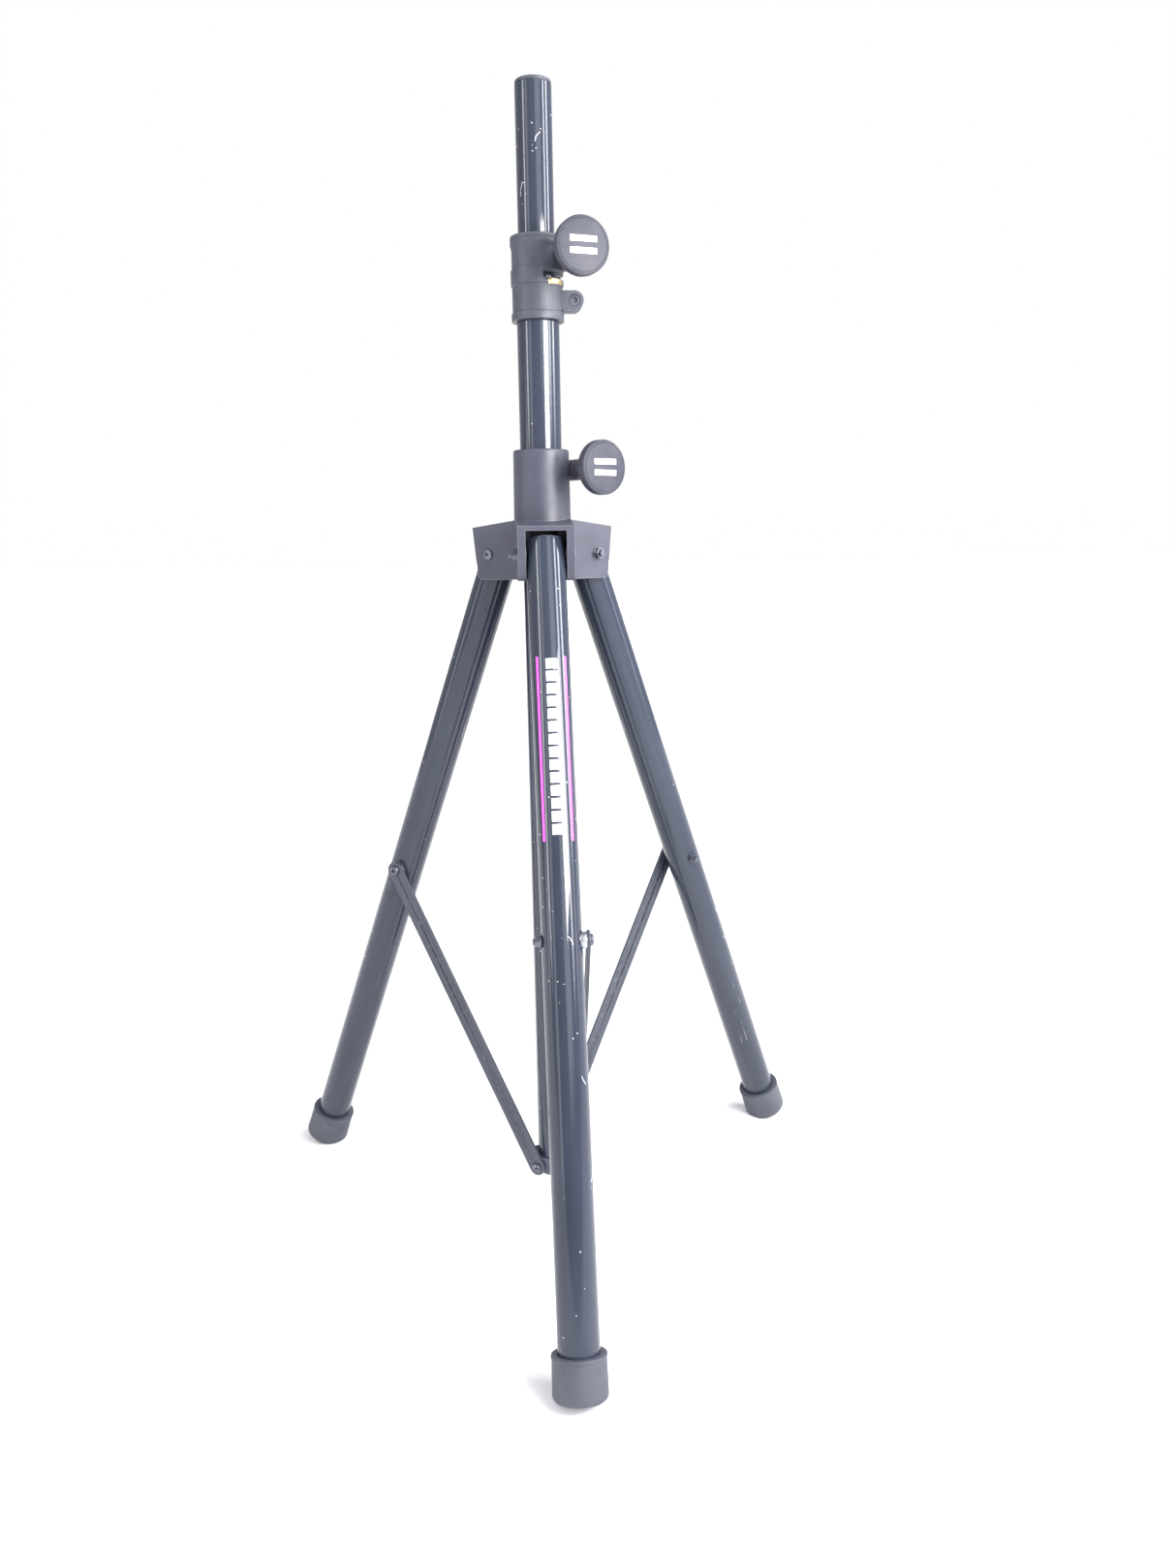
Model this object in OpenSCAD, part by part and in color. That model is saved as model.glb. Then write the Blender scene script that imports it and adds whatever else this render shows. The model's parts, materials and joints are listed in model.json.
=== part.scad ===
// Tripod stand that carries a loudspeaker on a telescoping pole.
// Frame: the origin is on the mast's axis, in the plane of the collar's mouth, where the pole
// comes out. +Z is up the pole, and the front leg points along -Y. Millimetres.

/* [Pole] */
// Outside diameter of the pole that the speaker sits on
pole_d = 34.925; // [34.5:0.025:35.5]
// Height of the pole's top above the collar's mouth
pole_out = 136; // [100:1:200]
// Whole length of the pole
pole_length = 936; // [850:1:960]
// Wall of the pole's tube
pole_wall = 2; // [1.5:0.1:3]

/* [Mast] */
// Outside diameter of the mast
mast_d = 41.275; // [41.1:0.025:41.4]
// Wall of the mast's tube
mast_wall = 1.6; // [1.5:0.05:1.65]
// Outside diameter of the collar on top of the mast
collar_d = 48.8; // [48:0.1:51]
// Height of the collar
collar_h = 76.5; // [76:0.5:90]
// Drop from the collar's mouth to the leg pivots
pivot_drop = 298; // [290:1:420]

/* [Legs] */
// Outside diameter of a leg
leg_d = 38.1; // [37:0.1:38.2]
// Wall of a leg's tube
leg_wall = 1.5; // [1.2:0.1:2.5]
// Angle between a leg and the mast
leg_angle = 21.2; // [18:0.1:24]
// Distance of the leg pivots from the mast's axis
leg_pivot_r = 48.8; // [48:0.1:50]
// Length of a leg's tube below its pivot
leg_length = 765; // [700:1:900]
// Distance along the leg from its pivot to the strut's bolt
strut_bolt_s = 374; // [360:1:390]

/* [Struts and hub] */
// Drop from the leg pivots to the hub's rivets
hub_drop = 678.5; // [670:0.5:690]
// Distance of a hub rivet from the mast's axis, along its leg
hub_pivot_r = 12.2; // [11:0.1:13]
// Width of a strut's flat bar
strut_w = 18.5; // [16:0.5:20]
// Thickness of a strut's flat bar
strut_t = 3; // [2:0.5:4]

/* [Knobs] */
// Diameter of the clamp knobs
knob_d = 52; // [45:0.1:55]
// Thickness of a knob's disc at its rim
knob_rim = 9.5; // [8:0.5:12]
// Direction that the pole's knob faces, in degrees from +X
upper_knob_az = 284.1; // [280:0.1:300]
// Direction that the mast's knob faces, in degrees from +X
lower_knob_az = 301.7; // [295:0.1:320]

/* [Hidden] */

$fn = 96;
eps = 0.01;
fit_gap = 0.05; // radial gap of a running fit
m6_nut_r = 5.77; // across the corners of a 10 mm hexagon, halved
m6_nut_h = 5.5;
m6_flange_r = 6.3;
front = 270;
left = 150;
right = 30;
leg_directions = [front, left, right];

// Pole
pole_r = pole_d / 2;
pole_in_r = pole_r - pole_wall;
cap_h = 3.2;
cap_joint = 0.6; // groove between the tube's end and the cap
pole_tube_top = pole_out - cap_h - cap_joint;
pole_bottom = pole_out - pole_length;
mark_pitch = 100; // spacing of the height marks round the pole
mark_w = 1.5;
mark_depth = 0.35;
mark_top = 0.3; // the first mark's upper edge, just above the collar's mouth
bushing_h = 45;
bushing_lip = 2;

// Mast
mast_r = mast_d / 2;
mast_in_r = mast_r - mast_wall;
mast_top = -46;
hub_z = -pivot_drop - hub_drop;
hub_below = 7; // hub below its rivets
hub_above = 11; // hub above its rivets
mast_bottom = hub_z - hub_below;

// Collar
collar_r = collar_d / 2;
collar_lip_r = collar_r + 1.1;
collar_lip_h = 8;
collar_lip_end = 12; // end of the flare below the lip
collar_foot_h = 7;
mouth_groove = 3.8; // parting groove below the mouth
band_top = -30.3;
band_bottom = -44.3;
slot_top = -34.3;
slot_bottom = -39.8;
slot_from = 281; // first direction of the slot, in degrees
slot_sweep = 170;
lug_x = 35.4;
lug_z = -58;
lug_r = 8.7;
lug_depth = 23;
clamp_slit = 2.5;
clamp_bolt_r = 3;
clamp_head_r = 5;
shim_from = 292; // first direction of the brass shim, in degrees
shim_sweep = 45;
shim_h = 5;
shim_t = 0.9;

// Housing, with heights measured from the leg pivots
pivot_z = -pivot_drop;
housing_gap = 0.66; // the mast's radial room in the housing
housing_bore_r = mast_r + housing_gap;
core_r = 25;
sleeve_foot_r = 28.65;
sleeve_top_r = 27.75;
sleeve_foot = 33;
sleeve_top = 101.4;
sleeve_round = 2.2;
channel_w = 55.4;
channel_in_w = 40;
channel_start = 20.6; // inner end of a channel's hollow
block_start = -3; // inner end of a channel's block, inside the sleeve
channel_bottom = -25;
mouth_top_r = 66;
mouth_bottom_r = 61;
mouth_top = 27;
roof_t = 4.4;
roof_slope = 7.5;
mouth_chamfer = 3;

// Legs and struts, measured along the leg from its pivot
leg_r = leg_d / 2;
leg_in_r = leg_r - leg_wall;
leg_top = 11.5; // end of the tube above the pivot
plug_h = 2;
plug_depth = 6;
foot_r = 25;
foot_wall_top = 731.5;
foot_end = 770;
foot_round = 5;
floor_z = pivot_z - 723;
pivot_bolt_r = 3;
bolt_r = 3; // the strut bolts
hub_face = 22.6; // distance of a hub face from the mast's axis
strut_room = 0.6; // room either side of a strut at the hub
strut_in = hub_face + strut_room;
strut_out = strut_in + strut_t;
bolt_foot_x = leg_pivot_r + strut_bolt_s * sin(leg_angle);
bolt_foot_z = strut_bolt_s * cos(leg_angle);
strut_rise = hub_drop - bolt_foot_z;
strut_run = bolt_foot_x - hub_pivot_r;
strut_length = norm([strut_run, strut_rise]);
strut_angle = atan2(strut_run, strut_rise);
rivet_r = 3;
rivet_head_r = 5.2;
open_pivot_gap = 0.95; // radial room of the two open hub pivots

// Knobs. A knob pinches a slit closed, and lengths along its stud start in the slit's middle plane.
stud_r = 4;
stud_hole_r = stud_r + 0.3;
stud_end = -16;
near_lug_end = 28.5;
near_lug_r = 10.25;
far_lug_end = -14;
far_lug_r = 9;
insert_r = 6;
insert_l = 9;
washer_r = 9.2;
washer_t = 1.45;
knob_back = near_lug_end + washer_t + 2 * fit_gap; // inner end of a knob's hub
knob_face = 69.9;
knob_hub_r = 10.25;
knob_dome = 1.4;
knob_edge = 1.6;
knob_cover = 3; // plastic between the stud's outer end and the rim of the face
upper_knob_z = -20;
upper_clamp_r = 24; // distance of the stud from the pole's axis
lower_knob_z = pivot_z + 82;
lower_clamp_r = 27.5; // distance of the stud from the mast's axis
lower_slit_bottom = pivot_z + 50;

// ---- Shapes and places that repeat ----

// Points along an arc round c, from angle a0 to a1.
function arc(c, r, a0, a1, n = 6) =
    [for (i = [0:n]) c + r * [cos(a0 + (a1 - a0) * i / n), sin(a0 + (a1 - a0) * i / n)]];

module ring(r_out, r_in, h) {
    difference() {
        cylinder(r = r_out, h = h);
        translate([0, 0, -eps]) cylinder(r = r_in, h = h + 2 * eps);
    }
}

// A sector of a ring, from direction "from" through "sweep" degrees.
module ring_sector(r_in, r_out, h, from, sweep) {
    rotate([0, 0, from])
        rotate_extrude(angle = sweep)
            translate([r_in, 0]) square([r_out - r_in, h]);
}

// Children's +Z runs out along a knob's stud, which passes the mast's axis at distance clamp_r.
module at_clamp(direction, clamp_r, z) {
    rotate([0, 0, direction]) translate([0, clamp_r, z]) rotate([0, 90, 0]) children();
}

// Children's -Z runs down the leg from its pivot, and their +Y is the strut's side.
module on_leg(direction) {
    rotate([0, 0, direction])
        translate([leg_pivot_r, 0, pivot_z])
            rotate([0, -leg_angle, 0]) children();
}

// Children's +Z runs up the strut from its rivet at the hub.
module on_strut(direction) {
    rotate([0, 0, direction])
        translate([hub_pivot_r, 0, hub_z])
            rotate([0, strut_angle, 0]) children();
}

// Children's +Z points to the strut's side, square to the leg's plane.
module sideways() {
    rotate([-90, 0, 0]) children();
}

// A domed screw head standing on z = 0, with a hexagonal socket.
module button_head(r, h, socket_r) {
    brim = 0.8;
    difference() {
        rotate_extrude()
            polygon(concat(
                [[0, 0], [r, 0], [r, brim]], arc([r - h + brim, brim], h - brim, 15, 90), [[0, h]]
            ));
        translate([0, 0, h * 0.35]) cylinder(r = socket_r, h = h, $fn = 6);
    }
}

// A flange nut whose flange lies on z = 0.
module flange_nut(bolt_hole_r, across_r, h, flange_r) {
    flange_t = 1.3;
    difference() {
        union() {
            cylinder(r = flange_r, h = flange_t);
            cylinder(r = across_r, h = h, $fn = 6);
        }
        translate([0, 0, -eps]) cylinder(r = bolt_hole_r, h = h + 2 * eps);
    }
}

// ---- Leg housing ----

function roof_at(x) = mouth_top + (mouth_top_r - x) * tan(roof_slope);

module housing_plan() {
    for (direction = leg_directions)
        rotate([0, 0, direction])
            translate([block_start, -channel_w / 2]) square([mouth_top_r - block_start + 1, channel_w]);
}

// Keeps what lies under one channel's roof and behind its mouth.
module channel_limit() {
    far = 80;
    corner_z = channel_bottom + mouth_chamfer;
    rotate([90, 0, 0])
        linear_extrude(height = 2 * far, center = true)
            polygon([
                [-far, corner_z - far], [mouth_bottom_r - far, corner_z - far], [mouth_bottom_r, corner_z],
                [mouth_top_r, mouth_top], [-far, roof_at(-far)]
            ]);
}

module channel_hollow() {
    past = 10;
    rotate([90, 0, 0])
        linear_extrude(height = channel_in_w, center = true)
            polygon([
                [channel_start, channel_bottom - past], [mouth_top_r + past, channel_bottom - past],
                [mouth_top_r + past, roof_at(mouth_top_r + past) - roof_t],
                [channel_start, roof_at(channel_start) - roof_t]
            ]);
}

module sleeve_body() {
    rotate_extrude()
        polygon(concat(
            [[0, channel_bottom], [core_r, channel_bottom], [core_r, sleeve_foot - roof_t]],
            [[sleeve_foot_r, sleeve_foot - roof_t], [sleeve_foot_r, sleeve_foot]],
            arc([sleeve_top_r - sleeve_round, sleeve_top - sleeve_round], sleeve_round, 0, 90),
            [[0, sleeve_top]]
        ));
}

module housing_solid() {
    translate([0, 0, pivot_z]) {
        difference() {
            intersection() {
                translate([0, 0, channel_bottom]) linear_extrude(height = sleeve_top) housing_plan();
                rotate([0, 0, front]) channel_limit();
                rotate([0, 0, left]) channel_limit();
                rotate([0, 0, right]) channel_limit();
            }
            for (direction = leg_directions) rotate([0, 0, direction]) channel_hollow();
        }
        sleeve_body();
    }
    pinch_lugs(lower_knob_az, lower_clamp_r, lower_knob_z);
}

module leg_housing() {
    color([0.16, 0.17, 0.20]) difference() {
        housing_solid();
        translate([0, 0, pivot_z + channel_bottom - 1])
            cylinder(r = housing_bore_r, h = sleeve_top - channel_bottom + 2);
        for (direction = leg_directions)
            rotate([0, 0, direction])
                translate([leg_pivot_r, -channel_w / 2 - 1, pivot_z])
                    sideways() cylinder(r = pivot_bolt_r, h = channel_w + 2);
        pinch_bores(lower_knob_az, lower_clamp_r, lower_knob_z);
        pinch_slit(lower_knob_az, lower_clamp_r, lower_slit_bottom, pivot_z + sleeve_top + 1);
    }
}

// ---- Leg pivots ----

pivot_tip = 8.5; // end of a pivot bolt beyond the housing's side

module at_pivot(direction, y) {
    rotate([0, 0, direction]) translate([leg_pivot_r, y, pivot_z]) sideways() children();
}

module leg_pivot_bolts() {
    color([0.55, 0.56, 0.60]) for (direction = leg_directions)
        at_pivot(direction, -channel_w / 2 - pivot_tip) {
            cylinder(r = pivot_bolt_r, h = channel_w + pivot_tip);
            translate([0, 0, channel_w + pivot_tip]) button_head(5.3, 2, 2);
        }
}

module leg_pivot_nuts() {
    color([0.55, 0.56, 0.60]) for (direction = leg_directions)
        at_pivot(direction, -channel_w / 2)
            mirror([0, 0, 1]) flange_nut(pivot_bolt_r, m6_nut_r, m6_nut_h, m6_flange_r);
}

module leg_pivot_washers() {
    thickness = (channel_in_w - leg_d) / 2 - 0.04;
    color([0.12, 0.12, 0.13]) for (direction = leg_directions, side = [-1, 1])
        at_pivot(direction, side * (leg_r + 0.02 + thickness / 2) - thickness / 2)
            ring(9, pivot_bolt_r, thickness);
}

// ---- Legs ----

module leg_tube(direction) {
    color([0.13, 0.14, 0.17]) on_leg(direction) difference() {
        translate([0, 0, -leg_length]) ring(leg_r, leg_in_r, leg_length + leg_top);
        translate([0, -leg_d, 0]) sideways() cylinder(r = pivot_bolt_r + fit_gap, h = 2 * leg_d);
        translate([0, -leg_d, -strut_bolt_s]) sideways() cylinder(r = bolt_r, h = 2 * leg_d);
    }
}

module leg_plug(direction) {
    rim = leg_r - 0.4;
    color([0.30, 0.31, 0.33]) on_leg(direction) rotate_extrude()
        polygon(concat(
            [[0, leg_top - plug_depth], [leg_in_r, leg_top - plug_depth], [leg_in_r, leg_top]],
            [[rim, leg_top]], arc([rim - plug_h, leg_top], plug_h, 0, 90), [[0, leg_top + plug_h]]
        ));
}

module foot(direction) {
    top_edge = 1.2;
    color([0.22, 0.23, 0.25]) difference() {
        on_leg(direction) rotate_extrude()
            polygon(concat(
                [[0, -foot_end]], arc([foot_r - foot_round, foot_round - foot_end], foot_round, 270, 360),
                [[foot_r, -foot_wall_top - top_edge], [foot_r - top_edge, -foot_wall_top]],
                [[leg_r, -foot_wall_top], [leg_r, -leg_length], [0, -leg_length]]
            ));
        rotate([0, 0, direction])
            translate([leg_length * sin(leg_angle) - 50, -50, floor_z - 30]) cube([200, 100, 30]);
    }
}

module strut_bolt(direction) {
    tip = leg_r + 8.2;
    seat = strut_out + fit_gap;
    color([0.55, 0.56, 0.60]) on_leg(direction) translate([0, -tip, -strut_bolt_s]) sideways() {
        cylinder(r = bolt_r, h = tip + seat);
        translate([0, 0, tip + seat]) button_head(5.7, 3.2, 2.1);
    }
}

module strut_nut(direction) {
    color([0.55, 0.56, 0.60]) on_leg(direction)
        translate([0, -leg_r, -strut_bolt_s]) sideways()
            mirror([0, 0, 1]) flange_nut(bolt_r, m6_nut_r, m6_nut_h, m6_flange_r);
}

module strut_spacer(direction) {
    saddle = 2.5; // depth of the saddle that fits the leg's round
    color([0.62, 0.62, 0.60]) on_leg(direction) difference() {
        translate([0, leg_r - saddle, -strut_bolt_s])
            sideways() ring(8, bolt_r, strut_in - fit_gap - leg_r + saddle);
        translate([0, 0, -strut_bolt_s - 20]) cylinder(r = leg_r, h = 40);
    }
}

// ---- Struts and hub ----

module strut(direction, hub_hole_r) {
    color([0.15, 0.16, 0.18]) on_strut(direction) translate([0, strut_in, 0]) difference() {
        union() {
            translate([-strut_w / 2, 0, 0]) cube([strut_w, strut_t, strut_length]);
            for (z = [0, strut_length])
                translate([0, 0, z]) sideways() cylinder(r = strut_w / 2, h = strut_t);
        }
        translate([0, -1, 0]) sideways() cylinder(r = hub_hole_r, h = strut_t + 2);
        translate([0, -1, strut_length]) sideways() cylinder(r = bolt_r + fit_gap, h = strut_t + 2);
    }
}

module at_rivet(direction, y) {
    rotate([0, 0, direction]) translate([hub_pivot_r, y, hub_z]) sideways() children();
}

rivet_in = 18.8; // inner end of a rivet's shank, clear of the mast

module hub_bracket() {
    hub_h = hub_above + hub_below;
    corner_r = 30;
    color([0.16, 0.17, 0.20]) difference() {
        translate([0, 0, mast_bottom]) intersection() {
            rotate([0, 0, 60]) cylinder(r = 2 * hub_face, h = hub_h, $fn = 3);
            cylinder(r = corner_r, h = hub_h);
        }
        translate([0, 0, mast_bottom - 1]) cylinder(r = mast_r, h = hub_h + 2);
        for (direction = leg_directions)
            at_rivet(direction, rivet_in - 0.1) cylinder(r = rivet_r, h = hub_face);
    }
}

module hub_rivets() {
    color([0.30, 0.31, 0.34]) for (direction = leg_directions)
        at_rivet(direction, rivet_in) {
            cylinder(r = rivet_r, h = strut_out + strut_room - rivet_in);
            translate([0, 0, strut_out + strut_room - rivet_in]) button_head(rivet_head_r, 2, 1.2);
        }
}

// ---- Mast ----

module mast_tube() {
    color([0.12, 0.13, 0.16])
        translate([0, 0, mast_bottom]) ring(mast_r, mast_in_r, mast_top - mast_bottom);
}

module mast_end_plug() {
    flange_t = 2.4;
    plug_l = 16;
    color([0.20, 0.20, 0.22]) {
        translate([0, 0, mast_bottom - flange_t]) cylinder(r = mast_r - 0.3, h = flange_t);
        translate([0, 0, mast_bottom - flange_t / 2]) cylinder(r = mast_in_r, h = plug_l + flange_t / 2);
    }
}

// ---- Collar ----

module collar_profile() {
    edge = 1;
    step = 0.7;
    groove = 0.4;
    polygon(concat(
        [[0, -collar_h], [collar_lip_r, -collar_h], [collar_lip_r, collar_foot_h - collar_h]],
        [[collar_r, collar_foot_h - collar_h + step], [collar_r, band_bottom - step]],
        [[collar_lip_r, band_bottom], [collar_lip_r, band_top], [collar_r, band_top + step]],
        [[collar_r, -collar_lip_end], [collar_lip_r, -collar_lip_h], [collar_lip_r, -mouth_groove - groove]],
        [[collar_lip_r - groove, -mouth_groove - groove], [collar_lip_r - groove, -mouth_groove]],
        [[collar_lip_r, -mouth_groove]],
        arc([collar_lip_r - edge, -edge], edge, 0, 90), [[0, 0]]
    ));
}

module clamp_lug() {
    root = collar_r - 4; // where the lugs start, inside the collar's wall
    translate([lug_x, -lug_depth / 2, lug_z]) sideways() cylinder(r = lug_r, h = lug_depth);
    translate([root, -lug_depth / 2, lug_z - lug_r]) cube([lug_x - root, lug_depth, 2 * lug_r]);
}

module collar_bores() {
    lead_in = 0.8;
    translate([0, 0, -collar_h - 1]) cylinder(r = mast_r, h = collar_h + 1 + mast_top);
    translate([0, 0, mast_top - 1]) cylinder(r = pole_r + fit_gap, h = 2 - mast_top);
    translate([0, 0, -lead_in])
        cylinder(r1 = pole_r + fit_gap, r2 = pole_r + fit_gap + lead_in + 0.1, h = lead_in + 0.1);
}

// The slot that frees the clamp from the collar's body, the slit between the lugs, and the bolt's holes.
module clamp_cuts() {
    far = 60;
    translate([0, 0, slot_bottom])
        ring_sector(pole_r, collar_lip_r + 1, slot_top - slot_bottom, slot_from, slot_sweep);
    translate([pole_r, -clamp_slit / 2, -collar_h - 1]) cube([far, clamp_slit, collar_h + 1 + slot_bottom]);
    translate([lug_x, -far / 2, lug_z]) sideways() cylinder(r = clamp_bolt_r + fit_gap, h = far);
    translate([lug_x, -lug_depth / 2 - 1, lug_z]) sideways() cylinder(r = clamp_head_r + 0.5, h = 6);
    translate([lug_x, lug_depth / 2 - m6_nut_h - 0.1, lug_z])
        sideways() cylinder(r = m6_nut_r + 0.1, h = m6_nut_h + 1, $fn = 6);
    translate([0, 0, band_bottom - 1])
        ring_sector(collar_lip_r - shim_t, collar_lip_r + 1, shim_h, shim_from, shim_sweep);
}

module collar() {
    color([0.17, 0.18, 0.21]) difference() {
        union() {
            difference() {
                union() {
                    rotate_extrude() collar_profile();
                    clamp_lug();
                }
                clamp_cuts();
            }
            pinch_lugs(upper_knob_az, upper_clamp_r, upper_knob_z);
        }
        collar_bores();
        pinch_bores(upper_knob_az, upper_clamp_r, upper_knob_z);
        pinch_slit(upper_knob_az, upper_clamp_r, slot_bottom, 1);
    }
}

module collar_shim() {
    gap = 0.05;
    color([0.85, 0.68, 0.35]) translate([0, 0, band_bottom - 1 + gap])
        ring_sector(
            collar_lip_r - shim_t + gap, collar_lip_r + 0.1, shim_h - 2 * gap,
            shim_from + 0.2, shim_sweep - 0.4
        );
}

module collar_clamp_bolt() {
    head_h = 4.5;
    seat = 5; // depth of the head's counterbore
    color([0.40, 0.41, 0.44]) translate([lug_x, seat - lug_depth / 2, lug_z]) sideways() {
        cylinder(r = clamp_bolt_r, h = lug_depth - seat);
        difference() {
            translate([0, 0, -head_h]) cylinder(r = clamp_head_r, h = head_h);
            translate([0, 0, -head_h - 1]) cylinder(r = 2.9, h = 3.5, $fn = 6);
        }
    }
}

module collar_clamp_nut() {
    seat = lug_depth / 2 - m6_nut_h - 0.05;
    color([0.45, 0.46, 0.48]) translate([lug_x, seat, lug_z]) sideways() difference() {
        cylinder(r = m6_nut_r, h = m6_nut_h, $fn = 6);
        translate([0, 0, -eps]) cylinder(r = clamp_bolt_r, h = m6_nut_h + 2 * eps);
    }
}

// ---- Clamp knobs ----

// The two lugs that a knob pulls together, before the slit between them is cut.
module pinch_lugs(direction, clamp_r, z) {
    at_clamp(direction, clamp_r, z) {
        cylinder(r = near_lug_r, h = near_lug_end);
        translate([0, 0, far_lug_end]) cylinder(r = far_lug_r, h = -far_lug_end + eps);
    }
}

// The stud's hole through both lugs and the insert's seat in the far one.
module pinch_bores(direction, clamp_r, z) {
    at_clamp(direction, clamp_r, z) {
        translate([0, 0, stud_end - 1]) cylinder(r = stud_hole_r, h = near_lug_end - stud_end + 2);
        translate([0, 0, far_lug_end - 1]) cylinder(r = insert_r, h = insert_l + 1);
    }
}

module pinch_slit(direction, clamp_r, bottom, top) {
    past = 12;
    rotate([0, 0, direction])
        translate([-clamp_slit / 2, 0, bottom]) cube([clamp_slit, clamp_r + past, top - bottom]);
}

module thread_insert(direction, clamp_r, z) {
    color([0.80, 0.64, 0.33]) at_clamp(direction, clamp_r, z)
        translate([0, 0, far_lug_end]) ring(insert_r, stud_r + fit_gap, insert_l);
}

module knob_washer(direction, clamp_r, z) {
    color([0.12, 0.12, 0.13]) at_clamp(direction, clamp_r, z)
        translate([0, 0, near_lug_end + fit_gap]) ring(washer_r, stud_r + fit_gap, washer_t);
}

module knob_stud(direction, clamp_r, z) {
    color([0.60, 0.61, 0.64]) at_clamp(direction, clamp_r, z)
        translate([0, 0, stud_end]) cylinder(r = stud_r, h = knob_face - knob_dome - knob_cover - stud_end);
}

module knob(direction, clamp_r, z) {
    rim_r = knob_d / 2;
    rim_top = knob_face - knob_dome;
    back = rim_top - knob_rim;
    dome_r = (rim_r * rim_r + knob_dome * knob_dome) / (2 * knob_dome);
    sweep = asin((rim_r - knob_edge) / dome_r);
    color([0.17, 0.18, 0.20]) at_clamp(direction, clamp_r, z) difference() {
        rotate_extrude()
            polygon(concat(
                [[0, knob_back], [knob_hub_r, knob_back], [knob_hub_r, back], [rim_r - 1, back]],
                [[rim_r, back + 1]], arc([rim_r - knob_edge, rim_top - knob_edge], knob_edge, 0, 75),
                arc([0, knob_face - dome_r], dome_r, 90 - sweep, 90)
            ));
        translate([0, 0, knob_back - 1]) cylinder(r = stud_r, h = rim_top - knob_cover - knob_back + 1);
    }
}

// ---- Pole ----

module pole_tube() {
    color([0.12, 0.13, 0.16]) difference() {
        translate([0, 0, pole_bottom]) ring(pole_r, pole_in_r, pole_tube_top - pole_bottom);
        for (z = [mark_top:-mark_pitch:pole_bottom + bushing_h + mark_w])
            translate([0, 0, z - mark_w]) ring(pole_r + 1, pole_r - mark_depth, mark_w);
    }
}

module pole_cap() {
    rim = pole_r - 0.25;
    edge = 1.4;
    neck = pole_r - 1;
    plug_l = 18;
    color([0.15, 0.15, 0.17]) rotate_extrude()
        polygon(concat(
            [[0, pole_tube_top - plug_l], [pole_in_r, pole_tube_top - plug_l], [pole_in_r, pole_tube_top]],
            [[neck, pole_tube_top], [neck, pole_tube_top + cap_joint], [rim, pole_tube_top + cap_joint]],
            arc([rim - edge, pole_out - edge], edge, 0, 90), [[0, pole_out]]
        ));
}

module pole_guide_bushing() {
    bushing_r = mast_in_r - 0.09;
    color([0.60, 0.60, 0.58]) {
        translate([0, 0, pole_bottom - fit_gap]) ring(bushing_r, pole_r + fit_gap, bushing_h);
        translate([0, 0, pole_bottom - fit_gap - bushing_lip]) ring(bushing_r, pole_in_r, bushing_lip);
    }
}

// ---- Nodes ----

leg_housing();
leg_pivot_bolts();
leg_pivot_nuts();
leg_pivot_washers();
thread_insert(lower_knob_az, lower_clamp_r, lower_knob_z);  // lower_thread_insert
knob_washer(lower_knob_az, lower_clamp_r, lower_knob_z);  // lower_knob_washer
knob(lower_knob_az, lower_clamp_r, lower_knob_z);  // lower_knob
knob_stud(lower_knob_az, lower_clamp_r, lower_knob_z);  // lower_knob_stud
leg_tube(front);  // leg_tube_front
leg_plug(front);  // leg_plug_front
foot(front);  // foot_front
strut_bolt(front);  // strut_bolt_front
strut_nut(front);  // strut_nut_front
strut_spacer(front);  // strut_spacer_front
strut(front, rivet_r + fit_gap);  // strut_front
leg_tube(left);  // leg_tube_left
leg_plug(left);  // leg_plug_left
foot(left);  // foot_left
strut_bolt(left);  // strut_bolt_left
strut_nut(left);  // strut_nut_left
strut_spacer(left);  // strut_spacer_left
strut(left, rivet_r + open_pivot_gap);  // strut_left
leg_tube(right);  // leg_tube_right
leg_plug(right);  // leg_plug_right
foot(right);  // foot_right
strut_bolt(right);  // strut_bolt_right
strut_nut(right);  // strut_nut_right
strut_spacer(right);  // strut_spacer_right
strut(right, rivet_r + open_pivot_gap);  // strut_right
mast_tube();
mast_end_plug();
hub_bracket();
hub_rivets();
collar();
collar_shim();
collar_clamp_bolt();
collar_clamp_nut();
thread_insert(upper_knob_az, upper_clamp_r, upper_knob_z);  // upper_thread_insert
knob_washer(upper_knob_az, upper_clamp_r, upper_knob_z);  // upper_knob_washer
knob(upper_knob_az, upper_clamp_r, upper_knob_z);  // upper_knob
knob_stud(upper_knob_az, upper_clamp_r, upper_knob_z);  // upper_knob_stud
pole_guide_bushing();
pole_tube();
pole_cap();
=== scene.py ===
"""Looks of the loudspeaker stand: finer shapes, materials, wear, light and camera."""
import json
import math
import random

import bmesh
import bpy
from mathutils import Matrix, Vector


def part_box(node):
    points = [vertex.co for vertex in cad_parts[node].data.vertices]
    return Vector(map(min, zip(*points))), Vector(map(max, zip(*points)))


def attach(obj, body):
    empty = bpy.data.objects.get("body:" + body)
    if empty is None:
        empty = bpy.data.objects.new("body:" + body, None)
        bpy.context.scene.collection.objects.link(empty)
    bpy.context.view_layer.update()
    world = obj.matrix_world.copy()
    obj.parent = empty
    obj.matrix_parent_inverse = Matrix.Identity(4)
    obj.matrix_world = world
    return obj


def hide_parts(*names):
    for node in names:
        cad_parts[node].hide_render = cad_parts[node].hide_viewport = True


MM = 0.001
SIDES = ("front", "left", "right")
ROUND = 128  # sides of a round piece
ARC_STEPS = 6  # segments of a rounded edge
POLE_WALL = 2.0 * MM
MAST_WALL = 1.6 * MM
LEG_WALL = 1.5 * MM
MARK_PITCH = 100 * MM  # height marks round the pole
MARK_WIDTH = 1.5 * MM
MARK_TOP = 0.3 * MM  # the first mark, just above the collar's mouth
MARK_DEPTH = 0.35 * MM
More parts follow.
